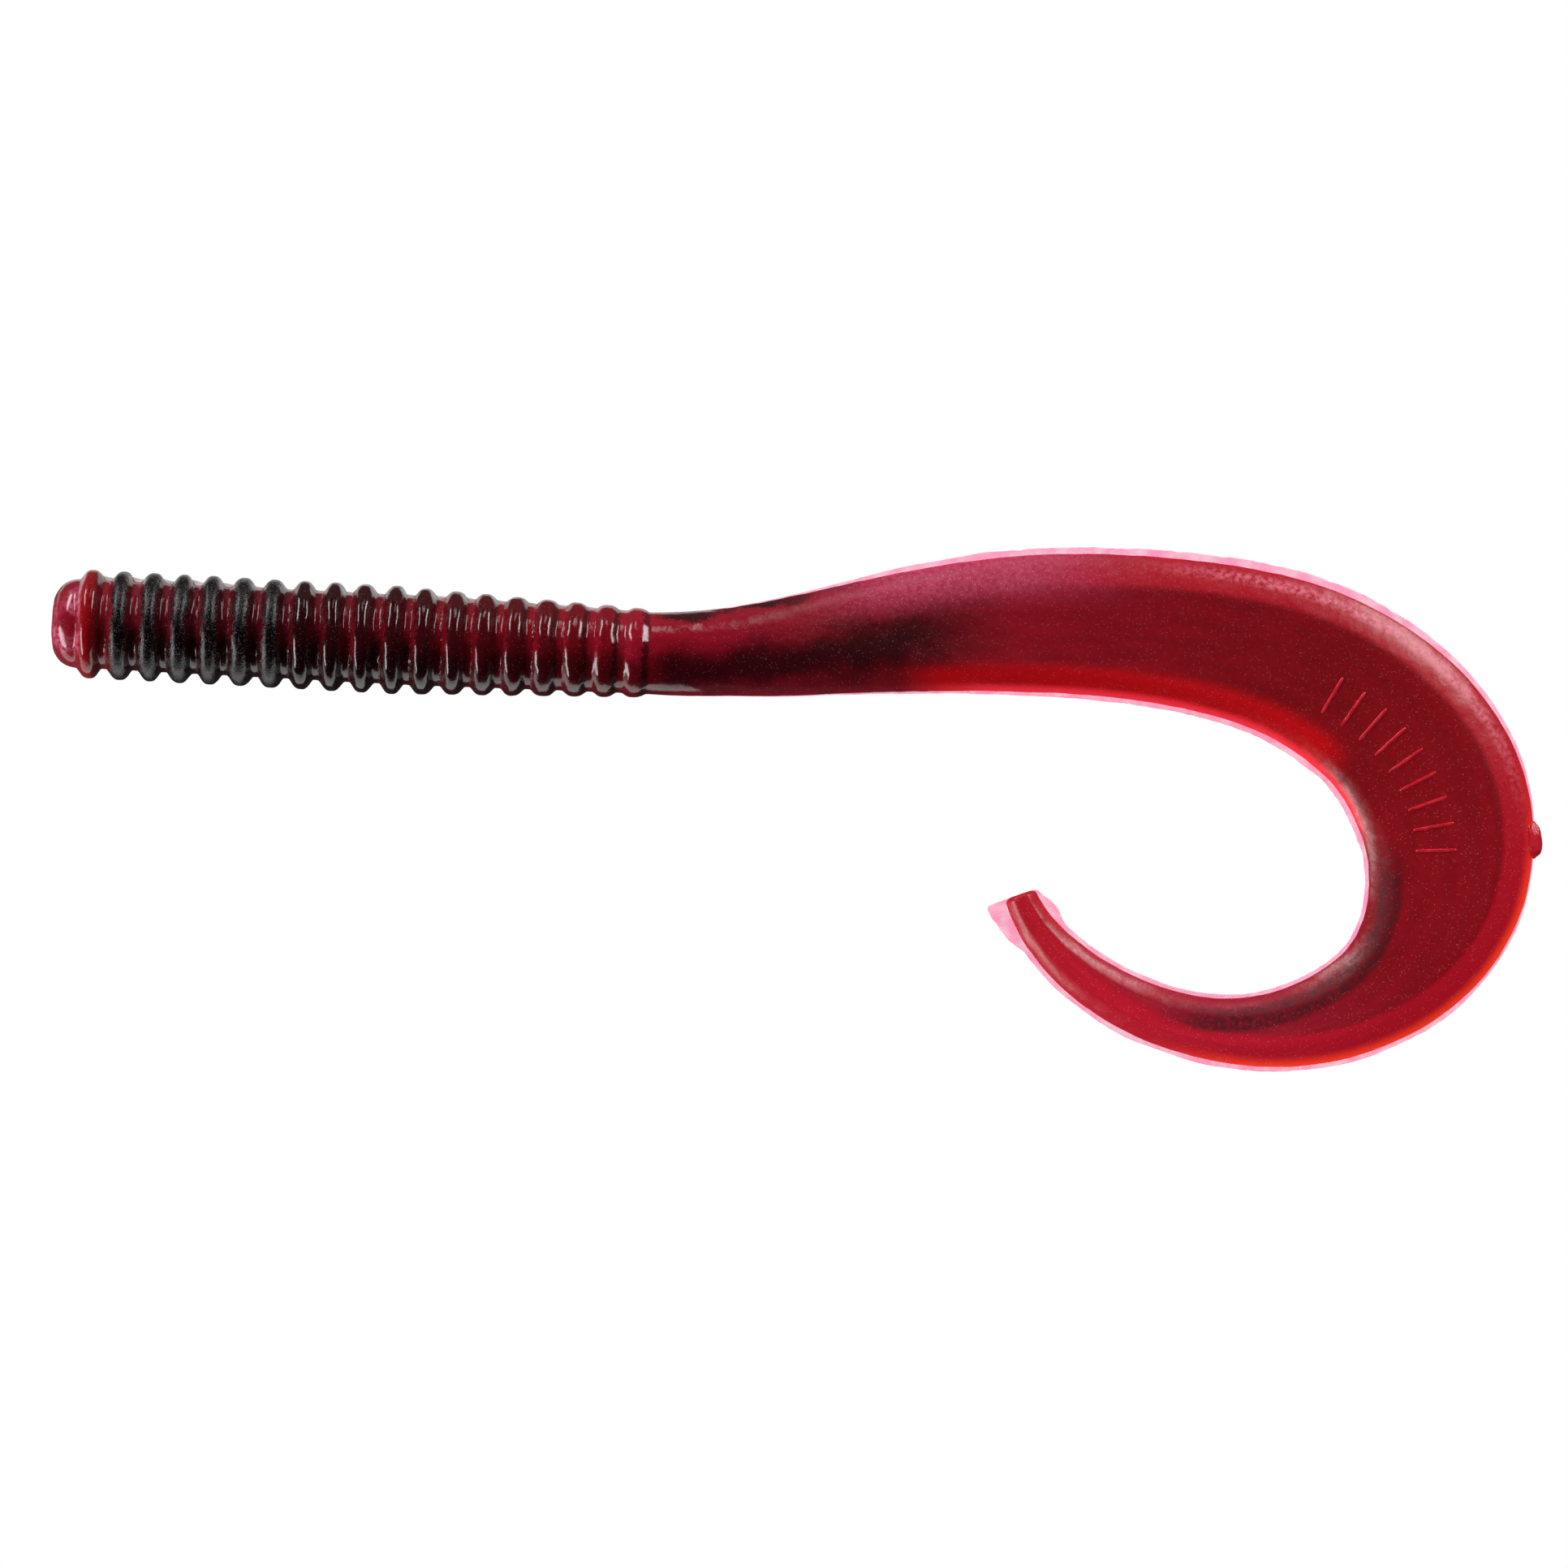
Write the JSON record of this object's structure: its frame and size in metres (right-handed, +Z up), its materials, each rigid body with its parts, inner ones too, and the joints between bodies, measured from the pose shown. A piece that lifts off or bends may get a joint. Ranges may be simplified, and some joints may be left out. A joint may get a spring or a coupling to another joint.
{
  "type": "soft plastic worm",
  "caption": "Soft plastic fishing worm with a blunt nose, a ringed body and a long flat tail curled like a sickle, lying on its side.",
  "frame": {"origin": "centre of the flat round face of the nose, on the axis of the ringed body", "axes": "+X along the ringed body from the nose to the tail, +Y to the outer side of the tail's curl, +Z up from the surface that the worm lies on"},
  "size_m": [0.1196, 0.0406, 0.0087],
  "materials": {
    "crimson": "glossy translucent soft plastic with pearl powder",
    "black": "black soft plastic with a silvery grain",
    "maroon": "glossy dark maroon soft plastic",
    "dark_red": "glossy translucent dark red soft plastic",
    "red": "satin translucent red soft plastic with pearl powder",
    "clear_pink": "clear pink moulding flash, a fraction of a millimetre thick"
  },
  "bodies": {
    "nose_end": {"nose": "crimson", "ring_01": "crimson"},
    "rib_02": {"waist_01": "crimson", "ring_02": "black"},
    "rib_03": {"waist_02": "dark_red", "ring_03": "black"},
    "rib_04": {"waist_03": "dark_red", "ring_04": "black"},
    "rib_05": {"waist_04": "dark_red", "ring_05": "black"},
    "rib_06": {"waist_05": "dark_red", "ring_06": "black"},
    "rib_07": {"waist_06": "dark_red", "ring_07": "black"},
    "rib_08": {"waist_07": "dark_red", "ring_08": "maroon"},
    "rib_09": {"waist_08": "dark_red", "ring_09": "maroon"},
    "rib_10": {"waist_09": "dark_red", "ring_10": "maroon"},
    "rib_11": {"waist_10": "dark_red", "ring_11": "maroon"},
    "rib_12": {"waist_11": "dark_red", "ring_12": "maroon"},
    "rib_13": {"waist_12": "dark_red", "ring_13": "maroon"},
    "rib_14": {"waist_13": "dark_red", "ring_14": "maroon"},
    "rib_15": {"waist_14": "dark_red", "ring_15": "maroon"},
    "rib_16": {"waist_15": "dark_red", "ring_16": "maroon"},
    "rib_17": {"waist_16": "dark_red", "ring_17": "maroon"},
    "rib_18": {"waist_17": "dark_red", "ring_18": "maroon"},
    "rib_19": {"waist_18": "dark_red", "ring_19": "maroon", "neck": "maroon"},
    "tail_link_01": {"tail_flex_01": "maroon", "tail_01": "red"},
    "tail_link_02": {"tail_flex_02": "red", "tail_02": "red"},
    "tail_link_03": {"tail_flex_03": "red", "tail_03": "red"},
    "tail_link_04": {"tail_flex_04": "red", "tail_04": "red"},
    "tail_link_05": {"tail_flex_05": "red", "tail_05": "red"},
    "tail_link_06": {"tail_flex_06": "red", "tail_06": "red"},
    "tail_link_07": {"tail_flex_07": "red", "tail_07": "red"},
    "tail_link_08": {"tail_flex_08": "red", "tail_08": "red"},
    "tail_link_09": {"tail_flex_09": "red", "tail_09": "red"},
    "tail_link_10": {"tail_flex_10": "red", "tail_10": "red"}
  },
  "joints": [
    {"name": "side_bend_01", "type": "hinge", "parent": "nose_end", "child": "rib_02", "pos_m": [0.00421, 0, 0], "axis": [0, 0, 1], "range_deg": [-10, 10], "stiffness_Nm_per_rad": 0.0026, "deforming": ["waist_01"]},
    {"name": "arch_02", "type": "hinge", "parent": "rib_02", "child": "rib_03", "pos_m": [0.00664, 0, 0], "axis": [0, -1, 0], "range_deg": [-10, 10], "stiffness_Nm_per_rad": 0.0026, "deforming": ["waist_02"]},
    {"name": "side_bend_03", "type": "hinge", "parent": "rib_03", "child": "rib_04", "pos_m": [0.00907, 0, 0], "axis": [0, 0, 1], "range_deg": [-10, 10], "stiffness_Nm_per_rad": 0.0026, "deforming": ["waist_03"]},
    {"name": "arch_04", "type": "hinge", "parent": "rib_04", "child": "rib_05", "pos_m": [0.0115, 0, 0], "axis": [0, -1, 0], "range_deg": [-10, 10], "stiffness_Nm_per_rad": 0.0026, "deforming": ["waist_04"]},
    {"name": "side_bend_05", "type": "hinge", "parent": "rib_05", "child": "rib_06", "pos_m": [0.01393, 0, 0], "axis": [0, 0, 1], "range_deg": [-10, 10], "stiffness_Nm_per_rad": 0.0026, "deforming": ["waist_05"]},
    {"name": "arch_06", "type": "hinge", "parent": "rib_06", "child": "rib_07", "pos_m": [0.01637, 0, 0], "axis": [0, -1, 0], "range_deg": [-10, 10], "stiffness_Nm_per_rad": 0.0026, "deforming": ["waist_06"]},
    {"name": "side_bend_07", "type": "hinge", "parent": "rib_07", "child": "rib_08", "pos_m": [0.01879, 0, 0], "axis": [0, 0, 1], "range_deg": [-10, 10], "stiffness_Nm_per_rad": 0.0026, "deforming": ["waist_07"]},
    {"name": "arch_08", "type": "hinge", "parent": "rib_08", "child": "rib_09", "pos_m": [0.02123, 0, 0], "axis": [0, -1, 0], "range_deg": [-10, 10], "stiffness_Nm_per_rad": 0.0026, "deforming": ["waist_08"]},
    {"name": "side_bend_09", "type": "hinge", "parent": "rib_09", "child": "rib_10", "pos_m": [0.02365, 0, 0], "axis": [0, 0, 1], "range_deg": [-10, 10], "stiffness_Nm_per_rad": 0.0026, "deforming": ["waist_09"]},
    {"name": "arch_10", "type": "hinge", "parent": "rib_10", "child": "rib_11", "pos_m": [0.02609, 0, 0], "axis": [0, -1, 0], "range_deg": [-10, 10], "stiffness_Nm_per_rad": 0.0026, "deforming": ["waist_10"]},
    {"name": "side_bend_11", "type": "hinge", "parent": "rib_11", "child": "rib_12", "pos_m": [0.02851, 0, 0], "axis": [0, 0, 1], "range_deg": [-10, 10], "stiffness_Nm_per_rad": 0.0026, "deforming": ["waist_11"]},
    {"name": "arch_12", "type": "hinge", "parent": "rib_12", "child": "rib_13", "pos_m": [0.03095, 0, 0], "axis": [0, -1, 0], "range_deg": [-10, 10], "stiffness_Nm_per_rad": 0.0025, "deforming": ["waist_12"]},
    {"name": "side_bend_13", "type": "hinge", "parent": "rib_13", "child": "rib_14", "pos_m": [0.03338, 0, 0], "axis": [0, 0, 1], "range_deg": [-10, 10], "stiffness_Nm_per_rad": 0.0024, "deforming": ["waist_13"]},
    {"name": "arch_14", "type": "hinge", "parent": "rib_14", "child": "rib_15", "pos_m": [0.0358, 0, 0], "axis": [0, -1, 0], "range_deg": [-10, 10], "stiffness_Nm_per_rad": 0.0023, "deforming": ["waist_14"]},
    {"name": "side_bend_15", "type": "hinge", "parent": "rib_15", "child": "rib_16", "pos_m": [0.03823, 0, 0], "axis": [0, 0, 1], "range_deg": [-10, 10], "stiffness_Nm_per_rad": 0.0022, "deforming": ["waist_15"]},
    {"name": "arch_16", "type": "hinge", "parent": "rib_16", "child": "rib_17", "pos_m": [0.04066, 0, 0], "axis": [0, -1, 0], "range_deg": [-10, 10], "stiffness_Nm_per_rad": 0.0021, "deforming": ["waist_16"]},
    {"name": "side_bend_17", "type": "hinge", "parent": "rib_17", "child": "rib_18", "pos_m": [0.0431, 0, 0], "axis": [0, 0, 1], "range_deg": [-10, 10], "stiffness_Nm_per_rad": 0.002, "deforming": ["waist_17"]},
    {"name": "arch_18", "type": "hinge", "parent": "rib_18", "child": "rib_19", "pos_m": [0.04553, 0, 0], "axis": [0, -1, 0], "range_deg": [-10, 10], "stiffness_Nm_per_rad": 0.0019, "deforming": ["waist_18"]},
    {"name": "flap_01", "type": "hinge", "parent": "rib_19", "child": "tail_link_01", "pos_m": [0.05533, 0.00058, -0.00001], "axis": [0.1257, -0.9921, 0], "range_deg": [-12, 12], "stiffness_Nm_per_rad": 0.00046, "deforming": ["tail_flex_01"]},
    {"name": "curl_02", "type": "hinge", "parent": "tail_link_01", "child": "tail_link_02", "pos_m": [0.06716, 0.0026, -0.00084], "axis": [0, 0, -1], "range_deg": [-20, 6], "stiffness_Nm_per_rad": 0.001, "deforming": ["tail_flex_02"]},
    {"name": "flap_03", "type": "hinge", "parent": "tail_link_02", "child": "tail_link_03", "pos_m": [0.07906, 0.00407, -0.00243], "axis": [0.0587, -0.9983, 0], "range_deg": [-24, 24], "stiffness_Nm_per_rad": 0.000094, "deforming": ["tail_flex_03"]},
    {"name": "curl_04", "type": "hinge", "parent": "tail_link_03", "child": "tail_link_04", "pos_m": [0.09105, 0.00385, -0.00291], "axis": [0, 0, -1], "range_deg": [-20, 6], "stiffness_Nm_per_rad": 0.0014, "deforming": ["tail_flex_04"]},
    {"name": "flap_05", "type": "hinge", "parent": "tail_link_04", "child": "tail_link_05", "pos_m": [0.10261, 0.00092, -0.00295], "axis": [-0.4412, -0.8974, 0], "range_deg": [-24, 24], "stiffness_Nm_per_rad": 0.000085, "deforming": ["tail_flex_05"]},
    {"name": "curl_06", "type": "hinge", "parent": "tail_link_05", "child": "tail_link_06", "pos_m": [0.11084, -0.00615, -0.00299], "axis": [0, 0, -1], "range_deg": [-20, 6], "stiffness_Nm_per_rad": 0.0022, "deforming": ["tail_flex_06"]},
    {"name": "flap_07", "type": "hinge", "parent": "tail_link_06", "child": "tail_link_07", "pos_m": [0.11253, -0.01672, -0.00304], "axis": [-0.9696, 0.2445, 0], "range_deg": [-24, 24], "stiffness_Nm_per_rad": 0.000066, "deforming": ["tail_flex_07"]},
    {"name": "curl_08", "type": "hinge", "parent": "tail_link_07", "child": "tail_link_08", "pos_m": [0.10605, -0.02524, -0.00311], "axis": [0, 0, -1], "range_deg": [-20, 6], "stiffness_Nm_per_rad": 0.00036, "deforming": ["tail_flex_08"]},
    {"name": "flap_09", "type": "hinge", "parent": "tail_link_08", "child": "tail_link_09", "pos_m": [0.09552, -0.02784, -0.0032], "axis": [0.0454, 0.999, 0], "range_deg": [-24, 24], "stiffness_Nm_per_rad": 0.000018, "deforming": ["tail_flex_09"]},
    {"name": "curl_10", "type": "hinge", "parent": "tail_link_09", "child": "tail_link_10", "pos_m": [0.08509, -0.02469, -0.00336], "axis": [0, 0, -1], "range_deg": [-20, 6], "stiffness_Nm_per_rad": 0.000038, "deforming": ["tail_flex_10"]}
  ],
  "couplings": [
    {"joint": "side_bend_03", "follows": "side_bend_01", "ratio": 1},
    {"joint": "arch_04", "follows": "arch_02", "ratio": 1},
    {"joint": "side_bend_05", "follows": "side_bend_01", "ratio": 1},
    {"joint": "arch_06", "follows": "arch_02", "ratio": 1},
    {"joint": "side_bend_07", "follows": "side_bend_01", "ratio": 1},
    {"joint": "arch_08", "follows": "arch_02", "ratio": 1},
    {"joint": "side_bend_09", "follows": "side_bend_01", "ratio": 1},
    {"joint": "arch_10", "follows": "arch_02", "ratio": 1},
    {"joint": "side_bend_11", "follows": "side_bend_01", "ratio": 1},
    {"joint": "arch_12", "follows": "arch_02", "ratio": 1},
    {"joint": "side_bend_13", "follows": "side_bend_01", "ratio": 1},
    {"joint": "arch_14", "follows": "arch_02", "ratio": 1},
    {"joint": "side_bend_15", "follows": "side_bend_01", "ratio": 1},
    {"joint": "arch_16", "follows": "arch_02", "ratio": 1},
    {"joint": "side_bend_17", "follows": "side_bend_01", "ratio": 1},
    {"joint": "arch_18", "follows": "arch_02", "ratio": 1},
    {"joint": "flap_03", "follows": "flap_01", "ratio": 2},
    {"joint": "curl_04", "follows": "curl_02", "ratio": 1},
    {"joint": "flap_05", "follows": "flap_01", "ratio": 2},
    {"joint": "curl_06", "follows": "curl_02", "ratio": 1},
    {"joint": "flap_07", "follows": "flap_01", "ratio": 2},
    {"joint": "curl_08", "follows": "curl_02", "ratio": 1},
    {"joint": "flap_09", "follows": "flap_01", "ratio": 2},
    {"joint": "curl_10", "follows": "curl_02", "ratio": 1}
  ]
}
